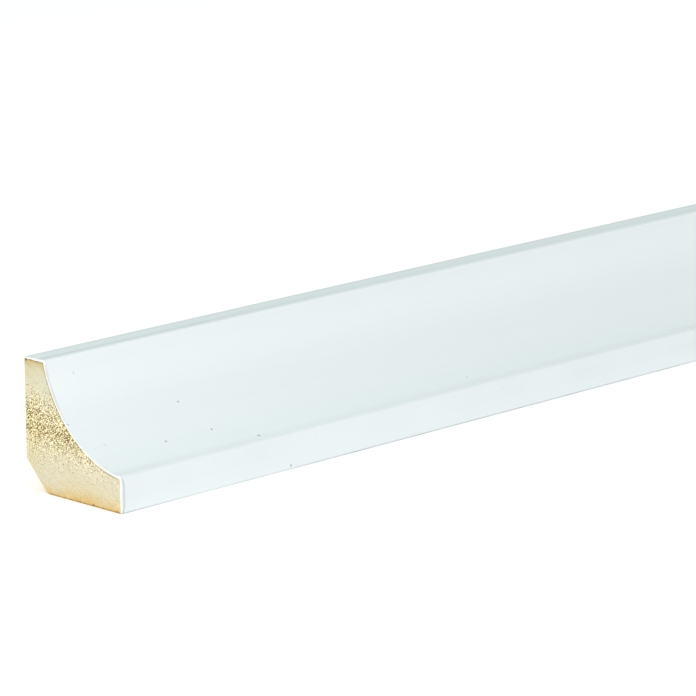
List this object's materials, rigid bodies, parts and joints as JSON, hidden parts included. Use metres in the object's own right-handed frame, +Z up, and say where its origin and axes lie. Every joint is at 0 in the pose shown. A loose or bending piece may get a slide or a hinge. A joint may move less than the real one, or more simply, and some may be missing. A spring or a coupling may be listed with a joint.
{
  "type": "inside corner moulding",
  "caption": "Straight run of inside corner moulding: a concave white trim with flat lands, faced over a foamed plastic core, with a chamfered back corner and square-cut ends.",
  "frame": {"origin": "middle of the underside, at the bottom centre of the bounding box", "axes": "+X along the run, +Y towards the wall behind the moulding, +Z up; the cove faces -Y and +Z"},
  "size_m": [0.15, 0.019, 0.0185],
  "materials": {
    "foam": "yellow-cream closed-cell foamed polystyrene, open pores where it is cut, smooth skin elsewhere",
    "facing": "white satin facing with faint extrusion lines"
  },
  "bodies": {
    "root": {"foam_core": "foam", "white_facing": "facing"}
  },
  "joints": []
}
